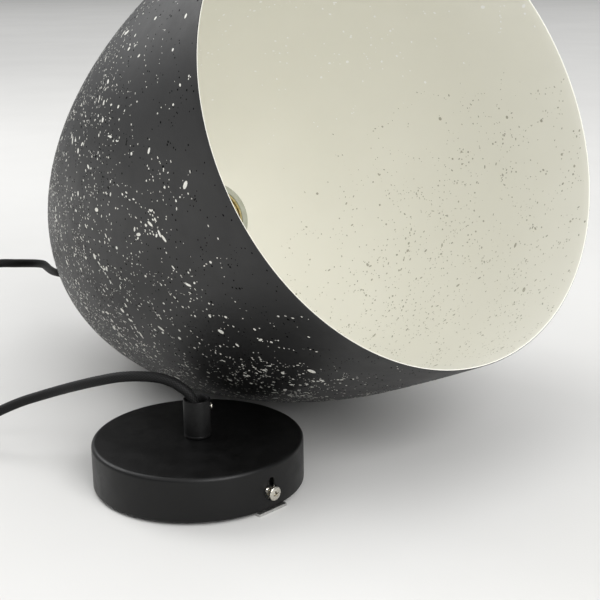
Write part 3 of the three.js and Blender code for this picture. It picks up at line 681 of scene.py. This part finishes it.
def rod_cutter(radius, start, end, height):
    """A rod that lies along X at a height."""
    bm = bmesh.new()
    laid = Matrix.Translation(((start + end) / 2, 0, height)) @ Matrix.Rotation(pi / 2, 4, "Y")
    bmesh.ops.create_cone(
        bm, cap_ends=True, segments=32, radius1=radius, radius2=radius, depth=end - start, matrix=laid
    )
    return bm


def carved(bm, name, cutters, materials, matrix, smooth=35):
    """Takes the cutters out of the body, then moves what is left into place."""
    body = put(bm, name, materials, None)
    for i, cutter in enumerate(cutters):
        tool = put(cutter, f"{name}_cutter_{i}", [], None)
        cut = body.modifiers.new("cut", "BOOLEAN")
        cut.operation = "DIFFERENCE"
        cut.solver = "EXACT"
        cut.object = tool
        shaped = bpy.data.meshes.new_from_object(body.evaluated_get(bpy.context.evaluated_depsgraph_get()))
        body.modifiers.clear()
        body.data = shaped
        bpy.data.objects.remove(tool)
    body.data.transform(matrix)
    body.data.name = name
    body.data.shade_smooth()
    body.data.set_sharp_from_angle(angle=radians(smooth))
    return body


def cord_grip(name, node_name, matrix):
    """Up the outside from the foot, past a groove near it, over the rounded top and down the flared bore."""
    outline = [
        (GRIP_BASE, 0),
        (GRIP_RADIUS - 0.0003, 0),
        (GRIP_RADIUS, 0.0003),
        (GRIP_RADIUS, 0.0012),
        (GRIP_RADIUS - GRIP_GROOVE, 0.0014),
        (GRIP_RADIUS - GRIP_GROOVE, 0.0017),
        (GRIP_RADIUS, 0.0019),
        (GRIP_RADIUS, GRIP_HEIGHT - 0.0007),
        (GRIP_RADIUS - 0.0002, GRIP_HEIGHT - 0.0002),
        (GRIP_RADIUS - 0.0006, GRIP_HEIGHT),
        (GRIP_BORE + 0.0011, GRIP_HEIGHT),
        (GRIP_BORE + 0.0007, GRIP_HEIGHT - 0.0004),
        (GRIP_BORE, GRIP_HEIGHT - 0.0027),
        (GRIP_BORE, GRIP_BASE_HEIGHT),
        (GRIP_BASE, GRIP_BASE_HEIGHT),
    ]
    body = turned(outline, 64)
    made = carved(body, name, [rod_cutter(CLAMP_HOLE, 0.003, 0.012, CLAMP_HEIGHT)], [nylon], matrix)
    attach(made, "root")
    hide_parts(node_name)


rose_low, rose_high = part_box("rose_cover")
rose_middle = (rose_low + rose_high) / 2
rose_top = rose_high.z
shade_grip_place = hanging @ Matrix.Translation((0, 0, GRIP_GAP))
rose_grip_foot = (rose_middle.x, rose_middle.y, rose_top + GRIP_GAP)
rose_grip_place = Matrix.Translation(rose_grip_foot) @ Matrix.Rotation(GRIP_TURN, 4, "Z")
cord_grip("shade_grip", "shade_cord_grip", shade_grip_place)
cord_grip("rose_grip", "rose_cord_grip", rose_grip_place)


# ---- Clamp screws ----
# Nickel-plated set screws with a driver slot, one through the side of each grip. Each slides out as a body of
# its own.
CLAMP_RADIUS = 0.0019
CLAMP_START = 0.0022
CLAMP_END = 0.0086
CLAMP_BEVEL = 0.0004
DRIVER_SLOT = (0.006, 0.0008, 0.002, 1)
SMALL_PITCH = 0.0007
SHANK_STEP = 0.000125
nickel, nickel_shader = new_material("nickel_plate", metallic=1.0)
coloured(nickel, nickel_shader, grain(nickel, 700.0), (0.60, 0.57, 0.50), (0.72, 0.69, 0.62))
roughened(nickel, nickel_shader, grain(nickel, 900.0), 0.22, 0.36)
bumped(nickel, nickel_shader, grain(nickel, 4000.0, detail=2.0), 0.1, 0.0001)


def threaded(bm, pitch, depth, low, high, inner):
    """Rolls a thread into the round wall between two heights, where it stands further out than inner."""
    for v in bm.verts:
        r = sqrt(v.co.x ** 2 + v.co.y ** 2)
        if low < v.co.z < high and r > inner:
            phase = v.co.z / pitch - math.atan2(v.co.y, v.co.x) / (2 * pi)
            fade = min(1, (v.co.z - low) / pitch, (high - v.co.z) / pitch)
            shift = -depth * fade * (0.5 + 0.5 * cos(2 * pi * phase))
            v.co.x *= (r + shift) / r
            v.co.y *= (r + shift) / r


def shank_line(radius, low, high, step):
    """A straight wall cut into even steps, fine enough to take a thread."""
    count = int(round((high - low) / step))
    return [(radius, low + (high - low) * i / count) for i in range(count + 1)]


def clamp_screw(name, node_name, body_name, matrix):
    outline = [
        (0, CLAMP_START),
        (CLAMP_RADIUS - CLAMP_BEVEL, CLAMP_START),
        *shank_line(CLAMP_RADIUS, CLAMP_START + CLAMP_BEVEL, CLAMP_END - 0.0002, SHANK_STEP),
        (CLAMP_RADIUS - 0.0002, CLAMP_END),
        (0, CLAMP_END),
    ]
    bm = turned(outline, 28, closed=False)
    threaded(bm, SMALL_PITCH, 0.00025, CLAMP_START + CLAMP_BEVEL, CLAMP_END - 0.0003, inner=0.0015)
    slot = bmesh.new()
    slot_place = Matrix.Translation((0, 0, CLAMP_END)) @ Matrix.Diagonal(DRIVER_SLOT)
    bmesh.ops.create_cube(slot, size=1, matrix=slot_place)
    laid = Matrix.Translation((0, 0, CLAMP_HEIGHT)) @ Matrix.Rotation(pi / 2, 4, "Y")
    made = carved(bm, name, [slot], [nickel], matrix @ laid)
    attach(made, body_name)
    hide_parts(node_name)


clamp_screw("shade_clamp_screw", "shade_grip_screw", "shade_grip_screw", shade_grip_place)
clamp_screw("rose_clamp_screw", "rose_grip_screw", "rose_grip_screw", rose_grip_place)


# ---- Stem, nuts and washers ----
# M10 fine-threaded zinc-plated tubes through the shade's seat and the rose, held by flat washers and hexagon
# nuts.
zinc, zinc_shader = new_material("zinc_plate", metallic=1.0)
coloured(zinc, zinc_shader, grain(zinc, 240.0), (0.48, 0.48, 0.47), (0.66, 0.66, 0.64))
roughened(zinc, zinc_shader, grain(zinc, 500.0), 0.28, 0.48)
bumped(zinc, zinc_shader, grain(zinc, 3000.0, detail=2.0), 0.12, 0.0001)
THREAD_RADIUS = 0.0049
THREAD_BORE = 0.004
THREAD_PITCH = 0.001
THREAD_DEPTH = 0.0004
STEM_DROP = 0.077
THREAD_TOP = 0.008


def threaded_tube(name, node_name, low, high, matrix):
    outline = [*shank_line(THREAD_RADIUS, low, high, 0.00025), (THREAD_BORE, high), (THREAD_BORE, low)]
    bm = turned(outline, 40)
    threaded(bm, THREAD_PITCH, THREAD_DEPTH, low, high, inner=THREAD_BORE + 0.0003)
    bmesh.ops.transform(bm, matrix=matrix, verts=bm.verts)
    made = put(bm, name, [zinc])
    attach(made, "root")
    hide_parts(node_name)


nipple_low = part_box("rose_nipple")[0].z
upright = Matrix.Translation((rose_middle.x, rose_middle.y, 0))
threaded_tube("stem", "shade_stem", -STEM_DROP, THREAD_TOP, hanging)
threaded_tube("rose_thread_tube", "rose_nipple", nipple_low, rose_top + GRIP_GAP + THREAD_TOP, upright)


def refinish(material, *names):
    """A carried-over part keeps its shape and gets this finish."""
    for name in names:
        part = frame["nodes"][name]
        part.data.materials.clear()
        part.data.materials.append(material)


refinish(zinc, "shade_washer", "shade_nut", "stem_lock_nut", "rose_washer", "rose_nut")


# ---- Lampholder ----
# A brass screw-shell holder for a 27 mm lamp: a cap with a threaded neck, a round shell, a porcelain core, a
# glazed liner, and a rolled brass shell round a sprung centre contact. Two brass terminals take the wires.
HOLDER_RADIUS = 0.019
HOLDER_WALL = 0.0009
HOLDER_LIP = 0.0006
SHELL_LENGTH = 0.037
SCREW_RADIUS = 0.0144
SCREW_WALL = 0.0007
SCREW_LENGTH = 0.024
SCREW_HOLE = 0.0076
SCREW_GAP = 0.0003
LAMP_PITCH = 0.00363
RING_PITCH = 0.002
WALL_STEP = 0.0004
CORE_BACK = 0.009
CORE_THICKNESS = 0.014
brass, brass_shader = new_material("brass", metallic=1.0)
coloured(brass, brass_shader, grain(brass, 180.0), (0.62, 0.50, 0.24), (0.78, 0.67, 0.38))
roughened(brass, brass_shader, grain(brass, 350.0), 0.2, 0.36)
bumped(brass, brass_shader, grain(brass, 2500.0, detail=2.0), 0.03, 0.0001)
glaze, glaze_shader = new_material("porcelain_glaze", specular=0.6)
coloured(glaze, glaze_shader, grain(glaze, 150.0), (0.70, 0.68, 0.62), (0.80, 0.79, 0.74))
roughened(glaze, glaze_shader, grain(glaze, 200.0), 0.12, 0.26)
honey_glaze, honey_shader = new_material("honey_glaze", specular=0.5)
coloured(honey_glaze, honey_shader, grain(honey_glaze, 150.0), (0.40, 0.32, 0.14), (0.52, 0.43, 0.21))
roughened(honey_glaze, honey_shader, grain(honey_glaze, 200.0), 0.15, 0.3)
shell_top = -HOLDER_FRONT + SHELL_LENGTH
core_low = shell_top + CORE_BACK - CORE_THICKNESS


def fitted(bm, name, material, node_name, body_name):
    """Takes a finished part from the axis it was turned on into the shade."""
    bmesh.ops.transform(bm, matrix=hanging, verts=bm.verts)
    made = put(bm, name, [material], 35)
    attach(made, body_name)
    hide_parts(node_name)


bore = HOLDER_RADIUS - HOLDER_WALL
shell = turned(
    [
        *shank_line(HOLDER_RADIUS, -HOLDER_FRONT + HOLDER_LIP, shell_top, WALL_STEP),
        (bore, shell_top),
        (bore, -HOLDER_FRONT + HOLDER_LIP),
        (bore - HOLDER_LIP, -HOLDER_FRONT + 0.0001),
        (bore - HOLDER_LIP + 0.0001, -HOLDER_FRONT),
        (HOLDER_RADIUS - HOLDER_LIP - 0.0002, -HOLDER_FRONT),
        (HOLDER_RADIUS - HOLDER_LIP * 0.35, -HOLDER_FRONT + HOLDER_LIP * 0.3),
    ],
    96,
)
threaded(shell, RING_PITCH, 0.0005, -HOLDER_FRONT + HOLDER_LIP, shell_top - 0.006, inner=bore + 0.0003)
fitted(shell, "holder_shell", brass, "lampholder_shell", "root")

socket_high = core_low - SCREW_GAP
socket_low = socket_high - SCREW_LENGTH
wall_low = socket_low + 0.0008
wall_out = shank_line(SCREW_RADIUS, wall_low, socket_high, WALL_STEP)
wall_in = shank_line(SCREW_RADIUS - SCREW_WALL, wall_low, socket_high - SCREW_WALL, WALL_STEP)[::-1]
socket = turned(
    [
        (SCREW_RADIUS - 0.0001, socket_low),
        *wall_out,
        (SCREW_HOLE, socket_high),
        (SCREW_HOLE, socket_high - SCREW_WALL),
        *wall_in,
        (SCREW_RADIUS - SCREW_WALL - 0.0001, socket_low + 0.0002),
    ],
    80,
)
threaded(socket, LAMP_PITCH, 0.0007, socket_low, socket_high - 0.002, inner=0.012)
fitted(socket, "lamp_screw_shell", brass, "screw_shell", "root")

refinish(brass, "lampholder_cap", "centre_contact", "live_terminal", "neutral_terminal")
refinish(glaze, "lampholder_core")
refinish(honey_glaze, "lampholder_liner")


# ---- Retaining ring ----
# A grey-green moulded ring, screwed onto the shell from the front, with ribs for the fingers round it and a
# black fibre washer behind. The ring turns on the washer as both travel.
RING_RADIUS = 0.024
RING_BORE = 0.0193
RING_LENGTH = 0.010
RIBS = 48
RIB_DEPTH = 0.0006
RIB_START = 0.002
ring_resin, ring_shader = new_material("grey_resin", specular=0.45)
coloured(ring_resin, ring_shader, grain(ring_resin, 300.0), (0.31, 0.315, 0.25), (0.38, 0.385, 0.315))
roughened(ring_resin, ring_shader, grain(ring_resin, 600.0), 0.35, 0.5)
front = -HOLDER_FRONT
ring = turned(
    [
        (RING_BORE, front + 0.0004),
        (RING_BORE + 0.0003, front),
        (RING_RADIUS - 0.0012, front),
        (RING_RADIUS - 0.0004, front + 0.0003),
        (RING_RADIUS, front + 0.0012),
        (RING_RADIUS, front + 0.003),
        (RING_RADIUS, front + 0.006),
        (RING_RADIUS, front + RING_LENGTH - 0.0004),
        (RING_RADIUS - 0.0004, front + RING_LENGTH),
        (RING_BORE, front + RING_LENGTH),
    ],
    RIBS * 6,
)
for v in ring.verts:
    r = sqrt(v.co.x ** 2 + v.co.y ** 2)
    if r > RING_RADIUS - 0.0001 and v.co.z > front + RIB_START:
        rib = 0.5 + 0.5 * cos(RIBS * math.atan2(v.co.y, v.co.x))
        v.co.x *= 1 - RIB_DEPTH * (1 - rib) / r
        v.co.y *= 1 - RIB_DEPTH * (1 - rib) / r
fitted(ring, "holder_ring", ring_resin, "retaining_ring", "retaining_ring")
fibre, fibre_shader = new_material("black_fibre", specular=0.3)
coloured(fibre, fibre_shader, grain(fibre, 900.0), (0.012, 0.012, 0.012), (0.03, 0.03, 0.03))
roughened(fibre, fibre_shader, grain(fibre, 500.0), 0.7, 0.9)
bumped(fibre, fibre_shader, grain(fibre, 2400.0), 0.4, 0.0002)
refinish(fibre, "ring_washer")


# ---- Wires ----
# The cord's sheath stops inside the holder and under the rose. From there brown and blue insulated wires go on
# to terminals, with a green one for earth in the rose.
def insulation(name, dark, light):
    made, shader = new_material(name, specular=0.5)
    coloured(made, shader, grain(made, 400.0), dark, light)
    roughened(made, shader, grain(made, 300.0), 0.35, 0.5)
    return made


brown = insulation("brown_insulation", (0.10, 0.04, 0.015), (0.14, 0.06, 0.025))
blue = insulation("blue_insulation", (0.03, 0.10, 0.34), (0.05, 0.14, 0.42))
green = insulation("green_insulation", (0.14, 0.32, 0.04), (0.22, 0.42, 0.06))
refinish(brown, "holder_live_wire", "rose_live_wire")
refinish(blue, "holder_neutral_wire", "rose_neutral_wire")
refinish(green, "rose_earth_wire")
sleeve, sleeve_shader = new_material("sheathed_lead", specular=0.3)
coloured(sleeve, sleeve_shader, grain(sleeve, 1800.0), (0.006, 0.006, 0.006), (0.03, 0.03, 0.03))
roughened(sleeve, sleeve_shader, grain(sleeve, 900.0), 0.6, 0.85)
bumped(sleeve, sleeve_shader, grain(sleeve, 2600.0), 0.5, 0.0002)
refinish(sleeve, "shade_lead", "rose_lead")


# ---- Rose bracket and terminal block ----
# A zinc-plated steel bracket, folded at both ends into ears for the side screws and slotted for the ceiling's
# screws, and a glazed porcelain block under the cover where the wires end. Both keep their shape.
refinish(zinc, "rose_bracket")
refinish(glaze, "terminal_block")


# ---- Rose cover ----
# A pressed steel cup in satin black paint, 120 mm across, with a rounded top edge and two keyholes low in its
# side, one round each of the bracket's side screws.
ROSE_RADIUS = (rose_high.x - rose_low.x) / 2
ROSE_WALL = 0.001
ROSE_HOLE = 0.0052
FILLET = 0.0025
SCREW_HEIGHT = 0.011
SCREW_TURN = radians(-45)
KEYHOLE_RADIUS = 0.0046
KEYHOLE_SLOT = 0.0023
KEYHOLE_RISE = 0.0062
KEYHOLE_REACH = 0.003
satin_black, satin_shader = new_material("satin_black_paint", specular=0.3)
coloured(satin_black, satin_shader, grain(satin_black, 30.0), (0.002, 0.002, 0.002), (0.0035, 0.0035, 0.0035))
roughened(satin_black, satin_shader, grain(satin_black, 120.0), 0.36, 0.48)
bumped(satin_black, satin_shader, grain(satin_black, 1800.0, detail=3.0), 0.2, 0.00015)


def fillet_line(radius, middle, steps=10):
    """A quarter round from straight up to straight out."""
    angles = [pi / 2 * i / steps for i in range(steps + 1)]
    return [(middle[0] + radius * sin(angle), middle[1] + radius * cos(angle)) for angle in angles]


corner = (ROSE_RADIUS - FILLET, rose_top - FILLET)
foot = rose_low.z
cover = turned(
    [
        (ROSE_HOLE, rose_top),
        *fillet_line(FILLET, corner),
        (ROSE_RADIUS, foot + 0.0003),
        (ROSE_RADIUS - 0.0003, foot),
        (ROSE_RADIUS - ROSE_WALL + 0.0002, foot),
        (ROSE_RADIUS - ROSE_WALL, foot + 0.0002),
        *fillet_line(FILLET - ROSE_WALL, corner)[::-1],
        (ROSE_HOLE, rose_top - ROSE_WALL),
    ],
    200,
)
cutters = []
for turn in (0, pi):
    around = Matrix.Rotation(SCREW_TURN + turn, 4, "Z")
    slot = bmesh.new()
    slot_size = Matrix.Diagonal((2 * KEYHOLE_REACH, 2 * KEYHOLE_SLOT, KEYHOLE_RISE, 1))
    slot_middle = Matrix.Translation((ROSE_RADIUS, 0, SCREW_HEIGHT + KEYHOLE_RISE / 2))
    bmesh.ops.create_cube(slot, size=1, matrix=slot_middle @ slot_size)
    start, end = ROSE_RADIUS - KEYHOLE_REACH, ROSE_RADIUS + KEYHOLE_REACH
    for cutter in (
        rod_cutter(KEYHOLE_RADIUS, start, end, SCREW_HEIGHT),
        slot,
        rod_cutter(KEYHOLE_SLOT, start, end, SCREW_HEIGHT + KEYHOLE_RISE),
    ):
        bmesh.ops.transform(cutter, matrix=around, verts=cutter.verts)
        cutters.append(cutter)
rose = carved(cover, "rose_cup", cutters, [satin_black], upright)
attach(rose, "root")
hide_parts("rose_cover")


# ---- Side screws and lock washers ----
# Two M4 pan-head screws with a cross recess, nickel plated, each over a toothed spring washer. The washer slides
# out as a body of its own, and the screw turns on it.
HEAD_IN = ROSE_RADIUS + 0.0013
HEAD_RADIUS = 0.0039
HEAD_HEIGHT = 0.0026
HEAD_CROWN = 0.0007
SHANK_RADIUS = 0.0019
SHANK_LENGTH = 0.012
WASHER_IN = ROSE_RADIUS + 0.0003
WASHER_RADIUS = 0.0041
WASHER_BORE = 0.0022
WASHER_THICKNESS = 0.0005
WASHER_MIDDLE = 0.0004
TOOTH = 0.0013
TOOTH_TWIST = 0.0009
TEETH = 10
POINTS_A_TOOTH = 8
HEAD_EDGE = 0.0003
HEAD_TAPER = 0.0013
HEAD_SIDE = 0.001
TIP_BEVEL = 0.0005
RECESS_TURN = 0.35
RECESS_FLATNESS = 0.24


def pan_head_screw(name, node_name, matrix):
    head_out = HEAD_IN + HEAD_HEIGHT
    crown = [(HEAD_RADIUS * i / 8, head_out - HEAD_CROWN * (i / 8) ** 2) for i in range(8)]
    shoulder = head_out - HEAD_CROWN - HEAD_EDGE
    crown += [
        (HEAD_RADIUS - HEAD_EDGE + HEAD_EDGE * sin(a), shoulder + HEAD_EDGE * cos(a))
        for a in (0.4, 0.8, 1.2, pi / 2)
    ]
    tip = HEAD_IN - SHANK_LENGTH
    outline = [
        *crown,
        (HEAD_RADIUS, HEAD_IN + HEAD_SIDE),
        (HEAD_RADIUS - HEAD_TAPER, HEAD_IN),
        *shank_line(SHANK_RADIUS, tip + TIP_BEVEL, HEAD_IN, SHANK_STEP)[::-1],
        (SHANK_RADIUS - TIP_BEVEL, tip),
        (0, tip),
    ]
    bm = turned(outline, 48, closed=False)
    threaded(bm, SMALL_PITCH, 0.0003, tip + TIP_BEVEL, HEAD_IN - 0.0006, inner=0.0016)
    arms = []
    for turn in (RECESS_TURN, RECESS_TURN + pi / 2):
        arm = bmesh.new()
        bmesh.ops.create_cone(arm, cap_ends=True, segments=4, radius1=0.0012, radius2=0.0033, depth=0.0026)
        bmesh.ops.rotate(arm, verts=arm.verts, matrix=Matrix.Rotation(pi / 4, 3, "Z"))
        bmesh.ops.scale(arm, verts=arm.verts, vec=(1, RECESS_FLATNESS, 1))
        bmesh.ops.rotate(arm, verts=arm.verts, matrix=Matrix.Rotation(turn, 3, "Z"))
        bmesh.ops.translate(arm, verts=arm.verts, vec=(0, 0, head_out - 0.0005))
        arms.append(arm)
    made = carved(bm, name, arms, [nickel], matrix, smooth=30)
    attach(made, node_name)
    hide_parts(node_name)


def toothed_washer(name, node_name, matrix):
    bm = bmesh.new()
    inner, outer = [], []
    count = TEETH * POINTS_A_TOOTH
    for i in range(count):
        angle = 2 * pi * i / count
        phase = (i % POINTS_A_TOOTH) / POINTS_A_TOOTH
        radius = WASHER_RADIUS - TOOTH * abs(2 * phase - 1)
        twist = (phase - 0.5) * TOOTH_TWIST * (1 - abs(2 * phase - 1))
        inner.append(bm.verts.new((WASHER_BORE * cos(angle), WASHER_BORE * sin(angle), 0)))
        outer.append(bm.verts.new((radius * cos(angle), radius * sin(angle), twist)))
    pairs = [*zip(inner, inner[1:] + inner[:1]), *zip(outer, outer[1:] + outer[:1])]
    edges = [bm.edges.new(pair) for pair in pairs]
    bmesh.ops.bridge_loops(bm, edges=edges)
    bmesh.ops.recalc_face_normals(bm, faces=bm.faces)
    bmesh.ops.solidify(bm, geom=bm.faces[:], thickness=WASHER_THICKNESS)
    bmesh.ops.recalc_face_normals(bm, faces=bm.faces)
    heights = [v.co.z for v in bm.verts]
    lift = WASHER_IN + WASHER_MIDDLE - (min(heights) + max(heights)) / 2
    bmesh.ops.translate(bm, verts=bm.verts, vec=(0, 0, lift))
    bmesh.ops.transform(bm, matrix=matrix, verts=bm.verts)
    made = put(bm, name, [nickel], 30)
    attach(made, node_name)
    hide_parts(node_name)


for side_name, turn in (("front", 0), ("back", pi)):
    towards = upright @ Matrix.Rotation(SCREW_TURN + turn, 4, "Z")
    laid = towards @ Matrix.Translation((0, 0, SCREW_HEIGHT)) @ Matrix.Rotation(pi / 2, 4, "Y")
    pan_head_screw(f"{side_name}_pan_screw", f"{side_name}_side_screw", laid)
    toothed_washer(f"{side_name}_tooth_washer", f"{side_name}_lock_washer", laid)
